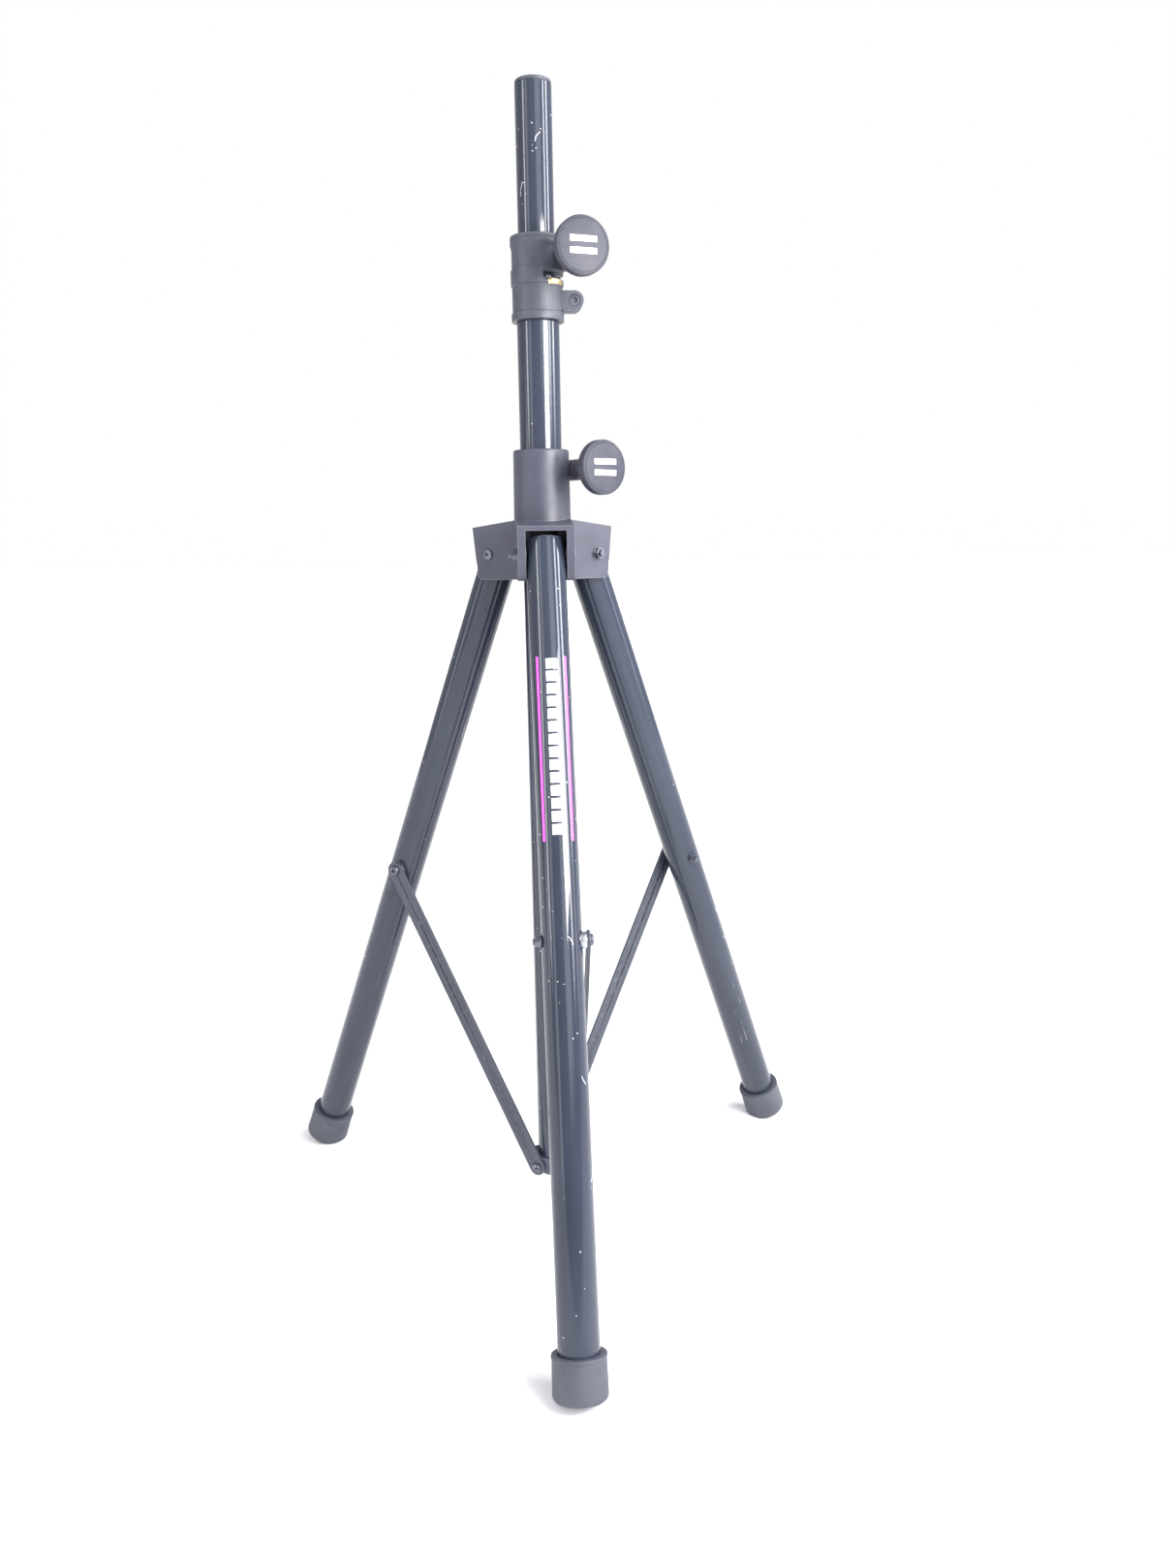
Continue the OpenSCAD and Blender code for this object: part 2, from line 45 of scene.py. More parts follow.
CAP_JOINT = 0.6 * MM  # groove between the pole and its cap
KNOB_DOME = 1.4 * MM  # rise of a knob's face
KNOB_RIM = 9.5 * MM
KNOB_EDGE = 1.6 * MM
KNOB_HUB_R = 10.25 * MM
STUD_R = 4 * MM

# ---- Places and sizes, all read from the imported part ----

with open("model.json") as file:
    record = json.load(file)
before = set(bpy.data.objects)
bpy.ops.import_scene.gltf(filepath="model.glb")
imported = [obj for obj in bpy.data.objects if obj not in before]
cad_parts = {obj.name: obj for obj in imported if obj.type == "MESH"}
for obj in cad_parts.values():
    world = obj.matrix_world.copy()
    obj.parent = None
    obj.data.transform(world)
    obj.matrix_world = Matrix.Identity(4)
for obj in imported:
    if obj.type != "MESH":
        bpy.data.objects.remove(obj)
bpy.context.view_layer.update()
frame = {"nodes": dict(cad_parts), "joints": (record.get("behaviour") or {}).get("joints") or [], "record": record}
record = frame["record"]
joints = {joint["name"]: joint for joint in frame["joints"]}
mounts = {mount["name"]: mount for mount in record["mounts"]}
slots = {part["node"]: part["material_slot"] for part in record["subparts"]}
body_of_node = {
    node: body for body, members in record["behaviour"]["bodies"].items() for node in members
}


def joint_point(name):
    return Vector(joints[name]["pos_m"])


def joint_axis(name):
    return Vector(joints[name]["axis"]).normalized()


def fold_joint(side):
    return "leg_fold" if side == "front" else f"leg_{side}_fold"


def placed(origin, x_axis, z_axis):
    """A matrix that puts a piece's origin, +X and +Z where they belong in the row frame."""
    z = z_axis.normalized()
    x = (x_axis - z * x_axis.dot(z)).normalized()
    y = z.cross(x)
    return Matrix.Translation(origin) @ Matrix((x, y, z)).transposed().to_4x4()


def leg_matrix(side):
    """+Z runs up the leg from its pivot, +X is the strut's side and -Y points outwards."""
    pivot = joint_point(fold_joint(side))
    up = pivot - joint_point(f"strut_{side}_swing")
    return placed(pivot, -joint_axis(fold_joint(side)), up)


def knob_matrix(which):
    """+Z points outwards along the knob's axis, and +Y is up."""
    outwards = joint_axis(f"{which}_knob_turn")
    return placed(joint_point(f"{which}_knob_turn"), Vector((0, 0, 1)).cross(outwards), outwards)


def box_in(node, matrix):
    """(lowest corner, highest corner) of a CAD node, in the frame of matrix."""
    back = matrix.inverted()
    points = [back @ vertex.co for vertex in frame["nodes"][node].data.vertices]
    low = Vector([min(p[i] for p in points) for i in range(3)])
    high = Vector([max(p[i] for p in points) for i in range(3)])
    return low, high


IN_PLACE = Matrix.Identity(4)

# ---- Mesh code ----


def mesh_piece(name, vertices, faces, matrix=IN_PLACE, sharp_angle=40):
    """A smooth-shaded mesh whose edges turn sharp above sharp_angle, placed by matrix."""
    mesh = bpy.data.meshes.new(name)
    mesh.from_pydata([tuple(v) for v in vertices], [], faces)
    mesh.validate()
    mesh.shade_smooth()
    mesh.set_sharp_from_angle(angle=math.radians(sharp_angle))
    piece = bpy.data.objects.new(name, mesh)
    piece.matrix_world = matrix
    bpy.context.scene.collection.objects.link(piece)
    return piece


def filleted(corners, steps=ARC_STEPS):
    """Profile points from (radius, height) corners. A third number rounds that corner by that radius."""
    points = []
    for i, corner in enumerate(corners):
        here = Vector(corner[:2])
        if len(corner) < 3:
            points.append(here)
            continue
        before = (Vector(corners[i - 1][:2]) - here).normalized()
        after = (Vector(corners[(i + 1) % len(corners)][:2]) - here).normalized()
        half = before.angle(after) / 2
        reach = corner[2] / math.tan(half)
        middle = here + (before + after).normalized() * corner[2] / math.sin(half)
        start, end = here + before * reach - middle, here + after * reach - middle
        for step in range(steps + 1):
            share = step / steps
            arm = start.lerp(end, share)
            points.append(middle + arm.normalized() * corner[2])
    return points


def lathe(name, profile, matrix=IN_PLACE, closed=False, sides=ROUND, sharp_angle=40):
    """A round piece turned from profile points about +Z. A closed profile makes a ring or a tube."""
    vertices, rings, faces = [], [], []
    for radius, height in profile:
        if radius < 1e-9:
            rings.append([len(vertices)] * sides)
            vertices.append((0, 0, height))
            continue
        rings.append(range(len(vertices), len(vertices) + sides))
        for i in range(sides):
            turn = 2 * math.pi * i / sides
            vertices.append((radius * math.cos(turn), radius * math.sin(turn), height))
    pairs = list(zip(rings, rings[1:])) + ([(rings[-1], rings[0])] if closed else [])
    for lower, upper in pairs:
        for i in range(sides):
            j = (i + 1) % sides
            corners = [lower[i], lower[j], upper[j], upper[i]]
            faces.append(list(dict.fromkeys(corners)))
    return mesh_piece(name, vertices, faces, matrix, sharp_angle)


def stand_in(piece, *nodes_replaced):
    """The piece takes the place, body and material of CAD nodes."""
    first = nodes_replaced[0]
    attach(piece, body_of_node[first])
    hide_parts(*nodes_replaced)
    dress(piece, slots[first])
    return piece


def dress(piece, slot_name):
    piece.data.materials.clear()
    piece.data.materials.append(finishes[slot_name])


# ---- Material code ----


def add(tree, kind, inputs=None, **settings):
    """A new node. Inputs are values or the sockets that feed them."""
    made = tree.nodes.new("ShaderNode" + kind)
    for key, value in settings.items():
        setattr(made, key, value)
    for key, value in (inputs or {}).items():
        if isinstance(value, bpy.types.NodeSocket):
            tree.links.new(value, made.inputs[key])
        else:
            made.inputs[key].default_value = value
    return made


def object_coordinates(tree, stretch):
    """Object coordinates times stretch, one factor for each axis."""
    place = add(tree, "TexCoord").outputs["Object"]
    return add(tree, "VectorMath", {0: place, 1: stretch}, operation="MULTIPLY").outputs["Vector"]


def noise_at(tree, stretch, detail=2.0, seed=0.0):
    """Noise from 0 to 1, with stretch features to the metre along each axis."""
    texture = add(
        tree, "TexNoise",
        {"Vector": object_coordinates(tree, stretch), "W": seed, "Scale": 1.0, "Detail": detail},
        noise_dimensions="4D",
    )
    return texture.outputs["Fac"]


def ramp(tree, value, low, high, to_low=0.0, to_high=1.0):
    """Value mapped from low..high to to_low..to_high, held at the ends."""
    inputs = {"Value": value, "From Min": low, "From Max": high, "To Min": to_low, "To Max": to_high}
    return add(tree, "MapRange", inputs).outputs["Result"]


def times(tree, a, b):
    return add(tree, "Math", {0: a, 1: b}, operation="MULTIPLY").outputs[0]


def larger(tree, a, b):
    return add(tree, "Math", {0: a, 1: b}, operation="MAXIMUM").outputs[0]


def mixed(tree, share, a, b):
    """Colour a where share is 0 and b where it is 1."""
    made = add(tree, "Mix", data_type="RGBA")
    for key, value in ((0, share), (6, a), (7, b)):
        if isinstance(value, bpy.types.NodeSocket):
            tree.links.new(value, made.inputs[key])
        else:
            made.inputs[key].default_value = value
    return made.outputs[2]


def bump(tree, height, distance, strength=1.0):
    inputs = {"Height": height, "Distance": distance, "Strength": strength}
    return add(tree, "Bump", inputs).outputs["Normal"]


def finish_material(name, colour, roughness, normal=None, metallic=0.0, specular=0.5):
    """Connects a material's colour, roughness and the rest to its shader, and returns it."""
    material = made_materials[name]
    shader = material.node_tree.nodes["Principled BSDF"]
    for key, value in (("Base Color", colour), ("Roughness", roughness), ("Normal", normal),
                       ("Metallic", metallic), ("Specular IOR Level", specular)):
        if value is None:
            continue
        if isinstance(value, bpy.types.NodeSocket):
            material.node_tree.links.new(value, shader.inputs[key])
        else:
            shader.inputs[key].default_value = value
    return material


made_materials = {}


def new_tree(name):
    material = bpy.data.materials.new(name)
    material.use_nodes = True
    made_materials[name] = material
    return material.node_tree


def hairlines(tree, along, seed, cover=0.62):
    """Thin scratches along one axis, in patches."""
    stretch = [900.0, 900.0, 900.0]
    stretch[along] = 18.0
    lines = ramp(tree, noise_at(tree, stretch, 2.0, seed), 0.70, 0.74)
    patches = ramp(tree, noise_at(tree, (22, 22, 9), 2.0, seed + 7), cover - 0.04, cover + 0.02)
    return times(tree, lines, patches)


def chips(tree, size, seed, cover):
    """Small irregular flakes of lost finish, more of them where cover is lower."""
    flakes = ramp(tree, noise_at(tree, (size, size, size), 3.0, seed), 0.725, 0.74)
    patches = ramp(tree, noise_at(tree, (14, 14, 7), 1.0, seed + 3), cover - 0.02, cover + 0.02)
    return times(tree, flakes, patches)


def powder_coat():
    """Gloss blue-black powder coat: faint orange peel, hairlines and chips down to the primer."""
    tree = new_tree("powder_coat")
    smudge = ramp(tree, noise_at(tree, (30, 30, 6), 4.0, 1.0), 0.35, 0.7)
    base = mixed(tree, smudge, (0.020, 0.026, 0.042, 1), (0.030, 0.037, 0.056, 1))
    wear = larger(tree, hairlines(tree, 2, 2.0), chips(tree, 260.0, 4.0, 0.56))
    colour = mixed(tree, wear, base, (0.75, 0.77, 0.80, 1))
    peel = noise_at(tree, (700, 700, 300), 2.0, 9.0)
    roughness = ramp(tree, smudge, 0, 1, 0.05, 0.12)
    return finish_material("powder_coat", colour, roughness, bump(tree, peel, 0.00002))


def cast_black():
    """Satin black over a die casting: a fine grain, a soft bloom and a painted highlight along its edges."""
    tree = new_tree("cast_black")
    bloom = ramp(tree, noise_at(tree, (45, 45, 45), 5.0, 11.0), 0.3, 0.7)
    base = mixed(tree, bloom, (0.034, 0.036, 0.055, 1), (0.050, 0.053, 0.077, 1))
    # Painted highlight: convex edges are lightened towards (0.24, 0.24, 0.27) to stand in for the light they would
    # catch, not wear.
    edges = times(tree, edges_worn_and_highlit(tree, 0.0012), 0.55)
    lit = mixed(tree, edges, base, (0.24, 0.24, 0.27, 1))
    colour = mixed(tree, chips(tree, 420.0, 12.0, 0.60), lit, (0.45, 0.46, 0.50, 1))
    grain = noise_at(tree, (1600, 1600, 1600), 3.0, 13.0)
    roughness = ramp(tree, bloom, 0, 1, 0.38, 0.50)
    return finish_material("cast_black", colour, roughness, bump(tree, grain, 0.00003))


def moulded(name, dark, light, roughness, seed):
    """Moulded nylon: matt, slightly mottled."""
    tree = new_tree(name)
    mottle = ramp(tree, noise_at(tree, (60, 60, 60), 5.0, seed), 0.3, 0.7)
    grain = noise_at(tree, (2200, 2200, 2200), 2.0, seed + 1)
    return finish_material(name, mixed(tree, mottle, dark, light), roughness, bump(tree, grain, 0.00002))


def knob_black():
    """Moulded plastic polished by hands: satin with fine scuffs."""
    tree = new_tree("knob_black")
    mottle = ramp(tree, noise_at(tree, (50, 50, 50), 5.0, 31.0), 0.3, 0.7)
    base = mixed(tree, mottle, (0.032, 0.035, 0.052, 1), (0.052, 0.052, 0.068, 1))
    scuffs = ramp(tree, noise_at(tree, (260, 1400, 260), 3.0, 32.0), 0.62, 0.75, 0.0, 0.35)
    colour = mixed(tree, scuffs, base, (0.22, 0.22, 0.25, 1))
    roughness = ramp(tree, scuffs, 0, 0.35, 0.45, 0.6)
    grain = noise_at(tree, (900, 900, 900), 2.0, 33.0)
    return finish_material("knob_black", colour, roughness, bump(tree, grain, 0.00002), specular=0.25)


def foot_rubber():
    """Rubber with a dusty grey bloom."""
    tree = new_tree("foot_rubber")
    bloom = ramp(tree, noise_at(tree, (40, 40, 40), 6.0, 41.0), 0.3, 0.72)
    base = mixed(tree, bloom, (0.050, 0.054, 0.072, 1), (0.078, 0.083, 0.103, 1))
    colour = mixed(tree, chips(tree, 600.0, 42.0, 0.62), base, (0.55, 0.55, 0.58, 1))
    grain = noise_at(tree, (1300, 1300, 1300), 3.0, 43.0)
    return finish_material("foot_rubber", colour, 0.62, bump(tree, grain, 0.00005))


# Edge mask: in cast_black it places a painted highlight, in strut_black real wear to bare metal.
def edges_worn_and_highlit(tree, radius):
    """1 along convex edges, from the angle between the surface and its rounded self."""
    rounded = add(tree, "Bevel", {"Radius": radius}, samples=6).outputs["Normal"]
    straight = add(tree, "NewGeometry").outputs["Normal"]
    likeness = add(tree, "VectorMath", {0: rounded, 1: straight}, operation="DOT_PRODUCT")
    return ramp(tree, likeness.outputs["Value"], 0.97, 0.90)


def strut_black():
    """Satin black on flat bar, worn bright at the edges."""
    tree = new_tree("strut_black")
    smudge = ramp(tree, noise_at(tree, (35, 35, 15), 4.0, 51.0), 0.3, 0.7)
    base = mixed(tree, smudge, (0.038, 0.044, 0.062, 1), (0.055, 0.062, 0.082, 1))
    broken = ramp(tree, noise_at(tree, (150, 150, 150), 3.0, 52.0), 0.50, 0.60)
    wear = larger(tree, times(tree, edges_worn_and_highlit(tree, 0.0006), broken), chips(tree, 240.0, 53.0, 0.58))
    colour = mixed(tree, wear, base, (0.55, 0.56, 0.60, 1))
    grain = noise_at(tree, (800, 800, 800), 2.0, 54.0)
    roughness = ramp(tree, smudge, 0, 1, 0.26, 0.40)
    return finish_material("strut_black", colour, roughness, bump(tree, grain, 0.00002))


def plated(name, light, dark, roughness, seed):
    """Plated or bare metal with a little grime."""
    tree = new_tree(name)
    grime = ramp(tree, noise_at(tree, (160, 160, 160), 5.0, seed), 0.42, 0.70)
    colour = mixed(tree, grime, light, dark)
    scratch = noise_at(tree, (1200, 1200, 200), 2.0, seed + 1)
    rough = ramp(tree, grime, 0, 1, roughness, roughness + 0.25)
    return finish_material(name, colour, rough, bump(tree, scratch, 0.00001), metallic=1.0)


def nylon():
    """Natural nylon, slightly yellowed."""
    tree = new_tree("nylon")
    mottle = ramp(tree, noise_at(tree, (90, 90, 90), 4.0, 71.0), 0.3, 0.7)
    colour = mixed(tree, mottle, (0.66, 0.65, 0.59, 1), (0.52, 0.50, 0.44, 1))
    return finish_material("nylon", colour, 0.42)


finishes = {
    "powder_coat": powder_coat(),
    "cast_black": cast_black(),
    "strut_black": strut_black(),
    "moulded_black": moulded(
        "moulded_black", (0.042, 0.045, 0.064, 1), (0.060, 0.064, 0.085, 1), 0.46, 21.0),
    "knob_black": knob_black(),
    "foot_rubber": foot_rubber(),
    "zinc_steel": plated("zinc_steel", (0.62, 0.64, 0.68, 1), (0.30, 0.30, 0.33, 1), 0.24, 61.0),
    "dark_steel": plated("dark_steel", (0.16, 0.17, 0.20, 1), (0.07, 0.07, 0.09, 1), 0.30, 63.0),
    "brass": plated("brass", (0.90, 0.72, 0.40, 1), (0.62, 0.44, 0.20, 1), 0.22, 65.0),
    "nylon": nylon(),
    "washer_black": moulded(
        "washer_black", (0.030, 0.033, 0.045, 1), (0.045, 0.050, 0.064, 1), 0.40, 25.0),
}

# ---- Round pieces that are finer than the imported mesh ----


def tube(node, matrix, wall, edge=0.3 * MM, grooves=()):
    """A tube in place of a CAD node. Each groove is (top, width, depth)."""
    low, high = box_in(node, matrix)
    radius = high.x
    corners = [(radius - wall, low.z), (radius, low.z, edge)]
    for top, width, depth in sorted(grooves):
        floor_r, bottom = radius - depth, top - width
        corners += [(radius, bottom), (floor_r, bottom), (floor_r, top), (radius, top)]
    corners += [(radius, high.z, edge), (radius - wall, high.z)]
    return stand_in(lathe(node + "_fine", filleted(corners), matrix, closed=True), node)


def pole_marks():
    """Grooves down the pole: (top, width, depth), the first just above the collar's mouth."""
    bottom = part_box("pole_tube")[0].z
    marks = []
    top = MARK_TOP
    while top > bottom + MARK_PITCH / 2:
        marks.append((top, MARK_WIDTH, MARK_DEPTH))
        top -= MARK_PITCH
    return marks


def pole_cap():
    low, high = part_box("pole_cap")
    tube_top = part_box("pole_tube")[1].z
    rim = tube_top + CAP_JOINT
    neck = high.x - 0.75 * MM
    plug = high.x - 1.75 * MM
    profile = filleted([
        (0, low.z), (plug, low.z, 0.5 * MM), (plug, tube_top), (neck, tube_top), (neck, rim),
        (high.x, rim, 0.3 * MM), (high.x, high.z, 1.4 * MM), (0, high.z)])
    stand_in(lathe("pole_cap_fine", profile), "pole_cap")


def leg_plug(side):
    matrix = leg_matrix(side)
    node = f"leg_plug_{side}"
    low, high = box_in(node, matrix)
    leg_top = box_in(f"leg_tube_{side}", matrix)[1].z
    bore = LEG_R - LEG_WALL
    profile = filleted([
        (0, low.z), (bore, low.z, 0.5 * MM), (bore, leg_top),
        (high.x, leg_top), (high.x, high.z, 1.8 * MM), (0, high.z)])
    stand_in(lathe(node + "_fine", profile, matrix), node)


def foot(side):
    """A rubber cup with a bead at its rim, a slight draft and a flat worn level on the floor."""
    matrix = leg_matrix(side)
    node = f"foot_{side}"
    high = box_in(node, matrix)[1]
    radius = high.x
    waist = radius - 0.5 * MM
    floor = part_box(node)[0].z
    tube_end = box_in(f"leg_tube_{side}", matrix)[0].z
    bottom = tube_end - 5 * MM
    corners = [
        (0, tube_end), (LEG_R, tube_end), (LEG_R, high.z, 0.6 * MM), (radius, high.z, 1.0 * MM),
        (radius, high.z - 2.6 * MM, 0.4 * MM), (waist, high.z - 3.4 * MM, 0.4 * MM),
        (radius - 0.1 * MM, bottom, 5 * MM), (0, bottom)]
    profile = filleted(corners)
    piece = lathe(node + "_fine", refined(profile, 2 * MM), matrix, sharp_angle=30)
    for vertex in piece.data.vertices:
        place = matrix @ vertex.co
        if place.z < floor:
            place.z = floor
            vertex.co = matrix.inverted() @ place
    stand_in(piece, node)


def refined(profile, step):
    """The same profile with extra points, so that no piece of it is longer than step."""
    points = [profile[0]]
    for a, b in zip(profile, profile[1:]):
        parts = max(1, math.ceil((b - a).length / step))
        points += [a.lerp(b, i / parts) for i in range(1, parts + 1)]
    return points


LEG_R = box_in("leg_tube_front", leg_matrix("front"))[1].x
POLE_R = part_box("pole_tube")[1].x
MAST_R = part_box("mast_tube")[1].x


def dome_radius(rim):
    """Radius of the sphere that a knob's face is cut from."""
    return (rim * rim + KNOB_DOME * KNOB_DOME) / (2 * KNOB_DOME)


def knob(which):
    """Domed disc with a rounded rim, a shallow ring on its face and a plain round hub behind it."""
    matrix = knob_matrix(which)
    node = f"{which}_knob"
    low, high = box_in(node, matrix)
    rim, face = high.y, high.z
    rim_top = face - KNOB_DOME
    back = rim_top - KNOB_RIM
    stud_end = box_in(f"{which}_knob_stud", matrix)[1].z
    dome_r = dome_radius(rim)
    corners = [
        (0, stud_end), (STUD_R, stud_end), (STUD_R, low.z), (KNOB_HUB_R, low.z, 0.6 * MM),
        (KNOB_HUB_R, back, 1.5 * MM), (rim, back, 1.2 * MM), (rim, rim_top, KNOB_EDGE)]
    profile = filleted(corners)
    groove = (rim - 2.9 * MM, rim - 3.2 * MM)
    steps = 14
    radii = [rim - KNOB_EDGE * 1.3, rim - 2.6 * MM, *groove]
    radii += [(rim - 3.5 * MM) * (1 - i / steps) for i in range(steps + 1)]
    for r in radii:
        sunk = 0.3 * MM if r in groove else 0
        profile.append(Vector((r, face - dome_r + math.sqrt(dome_r * dome_r - r * r) - sunk)))
    stand_in(lathe(node + "_fine", profile, matrix), node)


def round_pieces():
    tube("pole_tube", IN_PLACE, POLE_WALL, grooves=pole_marks())
    tube("mast_tube", IN_PLACE, MAST_WALL)
    pole_cap()
    for side in SIDES:
        tube(f"leg_tube_{side}", leg_matrix(side), LEG_WALL)
        leg_plug(side)
        foot(side)
    for which in ("upper", "lower"):
        knob(which)


round_pieces()

# ---- Prints, scratches and chips: thin pieces laid on a surface ----

SKIN = 0.05 * MM  # how far a print stands above the surface and reaches below it
PRINT_TOP = 0.152  # ends of the leg's print, as shares of the tube's length from its top
PRINT_BOTTOM = 0.379
LINE_PLACE = 0.77  # arc from the leg's front to a line, as a share of its radius
LINE_WIDTH = 3.2
BLOCK_WIDTH = 11.0
BLOCK_PITCH = 12.0
BLOCK_SHARE = 0.8
BAR_REACH = 0.5  # half length and thickness of a knob's bars, as shares of its radius
BAR_THICK = 0.2
FLAKE_LENGTHS = (0.5, 2.2)
STROKE_LENGTHS = (2.0, 7.0)
WEAR_MARGIN = 25.0
WEAR_REACH = 1.2  # arc either side of the front that is worn, as a share of the radius


def round_surface(radius):
    """Places (arc, height) on a tube in its own frame, with arc 0 facing -Y."""
    def place(x, y, lift):
        turn = x / radius
        return Vector(((radius + lift) * math.sin(turn), -(radius + lift) * math.cos(turn), y))
    return place


def face_surface(which):
    """Places (x, y) on a knob's domed face, in the knob's frame."""
    high = box_in(f"{which}_knob", knob_matrix(which))[1]
    face, dome_r = high.z, dome_radius(high.y)

    def place(x, y, lift):
        return Vector((x, y, face - dome_r + math.sqrt(dome_r * dome_r - x * x - y * y) + lift))
    return place


def bar(x0, y0, x1, y1, width, end_width=None):
    """Corners, in millimetres, of a bar from one place to another."""
    start, end = Vector((x0, y0)), Vector((x1, y1))
    along = (end - start).normalized()
    across = Vector((-along.y, along.x))
    end_width = width if end_width is None else end_width
    return [start - across * width / 2, end - across * end_width / 2,
            end + across * end_width / 2, start + across * width / 2]


def slab(work, quad, surface, step):
    """Adds a thin closed slab over four corners in millimetres, bent to the surface."""
    a, b, c, d = (corner * MM for corner in quad)
    rows = max(1, math.ceil(max((b - a).length, (c - d).length) / step))
    columns = max(1, math.ceil(max((d - a).length, (c - b).length) / step))
    skins = []
    for lift in (SKIN, -SKIN):
        grid = []
        for i in range(rows + 1):
            left, right = a.lerp(b, i / rows), d.lerp(c, i / rows)
            places = [left.lerp(right, j / columns) for j in range(columns + 1)]
            grid.append([work.verts.new(surface(place.x, place.y, lift)) for place in places])
        skins.append(grid)
    for grid in skins:
        for i in range(rows):
            for j in range(columns):
                work.faces.new((grid[i][j], grid[i + 1][j], grid[i + 1][j + 1], grid[i][j + 1]))
    upper, lower = (rim_of(grid) for grid in skins)
    for i in range(len(upper)):
        j = (i + 1) % len(upper)
        work.faces.new((upper[i], upper[j], lower[j], lower[i]))


def rim_of(grid):
    """The vertices round a grid's edge, in order."""
    side = [row[-1] for row in grid[1:-1]]
    other = [row[0] for row in grid[1:-1]]
    return grid[0] + side + grid[-1][::-1] + other[::-1]


def laid_on(name, quads, surface, matrix, body, material, step=1.5 * MM):
    work = bmesh.new()
    for quad in quads:
        slab(work, quad, surface, step)
    bmesh.ops.recalc_face_normals(work, faces=work.faces)
    mesh = bpy.data.meshes.new(name)
    work.to_mesh(mesh)
    work.free()
    mesh.materials.append(material)
    piece = bpy.data.objects.new(name, mesh)
    piece.matrix_world = matrix
    bpy.context.scene.collection.objects.link(piece)
    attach(piece, body)


def ink(name, colour, worn, seed):
    """Printed ink, rubbed away in spots to the colour worn."""
    tree = new_tree(name)
    rubbed = ramp(tree, noise_at(tree, (500, 500, 500), 3.0, seed), 0.60, 0.66)
    grain = noise_at(tree, (1500, 1500, 1500), 2.0, seed + 1)
    return finish_material(name, mixed(tree, rubbed, colour, worn), 0.45, bump(tree, grain, 0.00001))


white_ink = ink("white_ink", (0.88, 0.88, 0.90, 1), (0.42, 0.43, 0.47, 1), 91.0)
magenta_ink = ink("magenta_ink", (0.78, 0.10, 0.66, 1), (0.55, 0.22, 0.50, 1), 93.0)
bare_primer = ink("bare_primer", (0.80, 0.81, 0.84, 1), (0.50, 0.51, 0.55, 1), 95.0)


def column(x, top, bottom, width, pitch, share):
    """Equal blocks down a line, each covering its share of the pitch."""
    count = round((top - bottom) / pitch)
    pitch = (top - bottom) / count
    return [bar(x, top - i * pitch, x, top - (i + share) * pitch, width) for i in range(count)]


def leg_print():
    """Two magenta lines with a plain column of equal white blocks between them, on the front leg."""
    low, high = (corner.z / MM for corner in box_in("leg_tube_front", leg_matrix("front")))
    top = high - PRINT_TOP * (high - low)
    bottom = high - PRINT_BOTTOM * (high - low)
    side = LINE_PLACE * LEG_R / MM
    lines = [bar(x, top, x, bottom, LINE_WIDTH) for x in (-side, side)]
    band = column(0, top - LINE_WIDTH, bottom + LINE_WIDTH, BLOCK_WIDTH, BLOCK_PITCH, BLOCK_SHARE)
    surface, matrix = round_surface(LEG_R), leg_matrix("front")
    laid_on("front_leg_lines", lines, surface, matrix, "leg_front", magenta_ink)
    laid_on("front_leg_blocks", band, surface, matrix, "leg_front", white_ink)


def knob_prints():
    """Two plain bars in worn white ink, level across each knob's face."""
    for which in ("upper", "lower"):
        matrix = knob_matrix(which)
        rim = box_in(f"{which}_knob", matrix)[1].y / MM
        reach, thick = BAR_REACH * rim, BAR_THICK * rim
        quads = [bar(-reach, y, reach, y, thick) for y in (-thick, thick)]
        laid_on(f"{which}_knob_print", quads, face_surface(which), matrix, f"{which}_knob", white_ink)


def flakes(draw, count, reach, heights):
    """Small flakes at random places on a tube."""
    marks = []
    for _ in range(count):
        x, y = draw.uniform(-reach, reach), draw.uniform(*heights)
        turn, length = draw.uniform(0, math.pi), draw.uniform(*FLAKE_LENGTHS)
        marks.append(bar(x, y, x + length * math.cos(turn), y + length * math.sin(turn), 0.55, 0.35))
    return marks


def scratches(draw, count, reach, heights):
    """Scratches that wander over a tube in a few short strokes."""
    marks = []
    for _ in range(count):
        x, y = draw.uniform(-reach, reach), draw.uniform(*heights)
        turn = draw.uniform(0, math.pi)
        for _ in range(draw.randint(2, 4)):
            turn += draw.uniform(-0.7, 0.7)
            length = draw.uniform(*STROKE_LENGTHS)
            end_x, end_y = x + length * math.cos(turn), y + length * math.sin(turn)
            marks.append(bar(x, y, end_x, end_y, draw.uniform(0.3, 0.55)))
            x, y = end_x, end_y
    return marks


def wear():
    """Flakes and scratches down to bare primer on the tubes, most of them on the legs."""
    draw = random.Random(11)
    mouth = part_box("collar")[1].z / MM
    worn = [("pole_tube", "pole", IN_PLACE, POLE_R, 8, 2), ("mast_tube", "mast", IN_PLACE, MAST_R, 8, 1)]
    worn += [(f"leg_tube_{side}", f"leg_{side}", leg_matrix(side), LEG_R, 26, 3) for side in SIDES]
    for node, body, matrix, radius, flake_count, scratch_count in worn:
        low, high = (corner.z / MM for corner in box_in(node, matrix))
        if node == "pole_tube":
            low = mouth
        heights = (low + WEAR_MARGIN, high - WEAR_MARGIN)
        reach = radius / MM * WEAR_REACH
        marks = flakes(draw, flake_count, reach, heights) + scratches(draw, scratch_count, reach, heights)
        laid_on(f"{node}_wear", marks, round_surface(radius), matrix, body, bare_primer)


leg_print()
knob_prints()
wear()


# ---- CAD pieces kept as they are, with softened edges ----

EDGE_WIDTHS = {
    "leg_housing": 1.0 * MM, "collar": 0.6 * MM, "hub_bracket": 0.8 * MM,
    "strut_front": 0.4 * MM, "strut_left": 0.4 * MM, "strut_right": 0.4 * MM,
}
SMALL_EDGE = 0.15 * MM


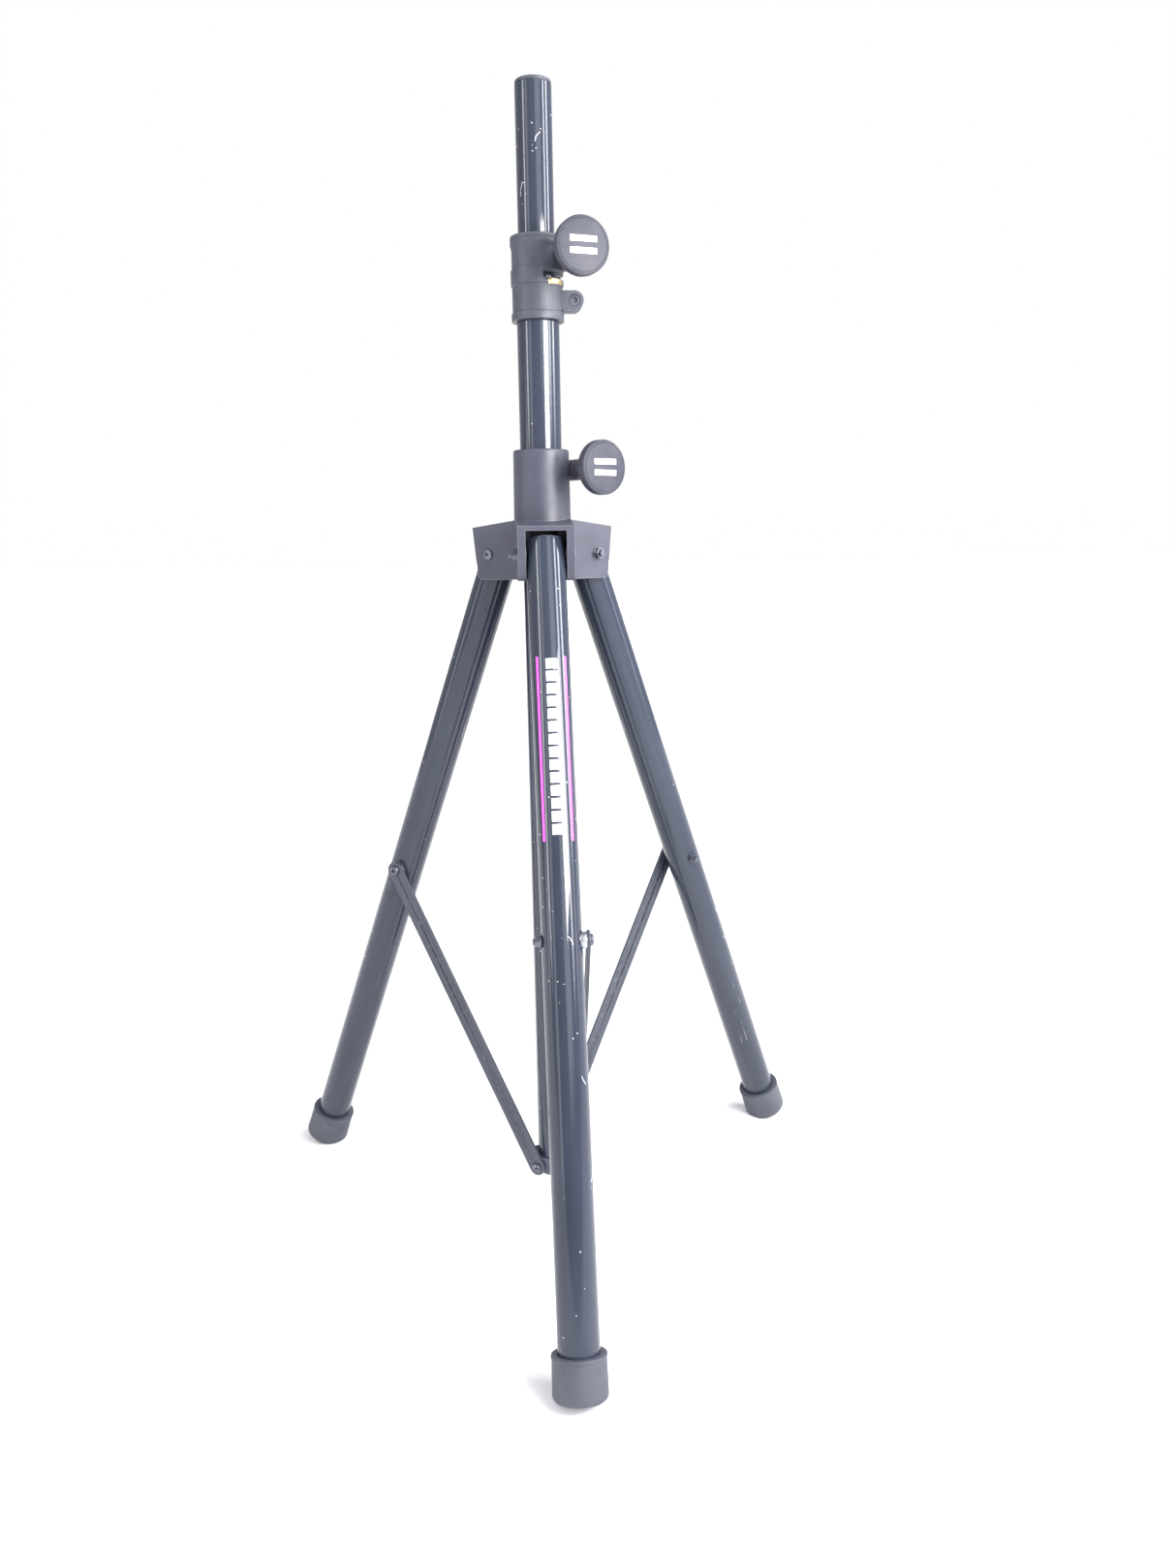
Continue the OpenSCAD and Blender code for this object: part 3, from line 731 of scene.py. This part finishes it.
def soften(node):
    piece = frame["nodes"][node]
    weld = piece.modifiers.new("weld", "WELD")
    weld.merge_threshold = 0.002 * MM
    bevel = piece.modifiers.new("bevel", "BEVEL")
    bevel.width = EDGE_WIDTHS.get(node, SMALL_EDGE)
    bevel.segments = 3
    bevel.limit_method = "ANGLE"
    bevel.angle_limit = math.radians(32)
    bevel.harden_normals = True


for name, piece in frame["nodes"].items():
    dress(piece, slots[name])
    if not piece.hide_render:
        soften(name)

# ---- Camera, light and stage ----


CAMERA_PLACE = (-0.0585, -1.1743, -0.2839)
CAMERA_YAW, CAMERA_PITCH, CAMERA_ROLL = (math.radians(a) for a in (-4.90, -12.217, -0.855))
CAMERA_LENS = 25.97  # on a 36 mm sensor


def camera():
    yaw, pitch, roll = CAMERA_YAW, CAMERA_PITCH, CAMERA_ROLL
    forward = Vector((-math.sin(yaw) * math.cos(pitch), math.cos(yaw) * math.cos(pitch), math.sin(pitch)))
    right = Vector((math.cos(yaw), math.sin(yaw), 0))
    up = right.cross(forward)
    turned_right = right * math.cos(roll) + up * math.sin(roll)
    turned_up = up * math.cos(roll) - right * math.sin(roll)
    data = bpy.data.cameras.new("camera")
    data.sensor_width = 36
    data.lens = CAMERA_LENS
    piece = bpy.data.objects.new("camera", data)
    turn = Matrix((turned_right, turned_up, -forward)).transposed().to_4x4()
    piece.matrix_world = Matrix.Translation(CAMERA_PLACE) @ turn
    bpy.context.scene.collection.objects.link(piece)
    bpy.context.scene.camera = piece


# Each lit panel round the stand: direction from the viewer's side, half width, lowest and highest
# elevation, all in degrees, and brightness.
PANELS = (
    (23, 16, 12, 50, 2.6),
    (62, 5, 10, 70, 16.0),
    (86, 5, 10, 70, 18.0),
    (86, 6, -40, 10, 3.0),
    (-70, 4, 8, 70, 11.0),
    (-50, 6, -30, 70, 2.4),
    (-84, 4, -40, 10, 3.5),
)
SOFT_EDGE = 2.5


def studio_world():
    """A white studio with lit panels. Only reflections and light see the panels, not the camera."""
    world = bpy.data.worlds.new("studio")
    world.use_nodes = True
    tree = world.node_tree
    direction = add(tree, "TexCoord").outputs["Generated"]
    parts = add(tree, "SeparateXYZ", {0: direction}).outputs
    towards = add(tree, "Math", {0: parts["Y"], 1: -1.0}, operation="MULTIPLY").outputs[0]
    azimuth = add(tree, "Math", {0: parts["X"], 1: towards}, operation="ARCTAN2").outputs[0]
    elevation = add(tree, "Math", {0: parts["Z"]}, operation="ARCSINE").outputs[0]
    total = 0.66
    for middle, half, low, high, strength in PANELS:
        across = window(tree, azimuth, middle - half, middle + half)
        upwards = window(tree, elevation, low, high)
        lit = times(tree, times(tree, across, upwards), strength)
        total = add(tree, "Math", {0: total, 1: lit}, operation="ADD").outputs[0]
    background = tree.nodes["Background"]
    tree.links.new(total, background.inputs["Strength"])
    background.inputs["Color"].default_value = (0.97, 0.965, 1.0, 1)
    seen = add(tree, "Background", {"Color": (1, 1, 1, 1), "Strength": 1.0})
    is_camera = add(tree, "LightPath").outputs["Is Camera Ray"]
    both = add(tree, "MixShader", {0: is_camera, 1: background.outputs[0], 2: seen.outputs[0]})
    tree.links.new(both.outputs[0], tree.nodes["World Output"].inputs["Surface"])
    bpy.context.scene.world = world


def softbox():
    """A lit panel beside the camera, level with the collar, mirrored by the mast and the upper legs."""
    direction, distance = math.radians(38), 1.1
    half_width, bottom, top = 0.27, -0.30, 0.30
    middle = Vector((math.sin(direction), -math.cos(direction), 0)) * distance
    across = Vector((math.cos(direction), math.sin(direction), 0)) * half_width
    ends = ((-1, bottom), (1, bottom), (1, top), (-1, top))
    corners = [middle + across * side + Vector((0, 0, z)) for side, z in ends]
    piece = mesh_piece("softbox", corners, [(0, 1, 2, 3)])
    tree = new_tree("softbox")
    glow = add(tree, "Emission", {"Color": (1, 0.99, 0.98, 1), "Strength": 26.0})
    tree.links.new(glow.outputs[0], tree.nodes["Material Output"].inputs["Surface"])
    piece.data.materials.append(made_materials["softbox"])
    piece.visible_camera = False


def window(tree, value, low, high):
    """1 between low and high degrees, fading to 0 over the soft edge."""
    soft = math.radians(SOFT_EDGE)
    rise = ramp(tree, value, math.radians(low) - soft, math.radians(low) + soft)
    fall = ramp(tree, value, math.radians(high) - soft, math.radians(high) + soft, 1.0, 0.0)
    return times(tree, rise, fall)


def floor():
    """A pale floor just under the feet, wide enough to run out of sight."""
    reach = 40.0
    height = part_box("foot_front")[0].z - 0.1 * MM
    signs = ((-1, -1), (1, -1), (1, 1), (-1, 1))
    corners = [(reach * x, reach * y, height) for x, y in signs]
    piece = mesh_piece("floor", corners, [(0, 1, 2, 3)])
    tree = new_tree("floor")
    dapple = ramp(tree, noise_at(tree, (3, 3, 3), 3.0, 81.0), 0, 1)
    colour = mixed(tree, dapple, (0.88, 0.885, 0.895, 1), (0.90, 0.903, 0.91, 1))
    piece.data.materials.append(finish_material("floor", colour, 0.9, specular=0.0))


camera()
studio_world()
softbox()
floor()
bpy.context.scene.view_settings.view_transform = "Standard"
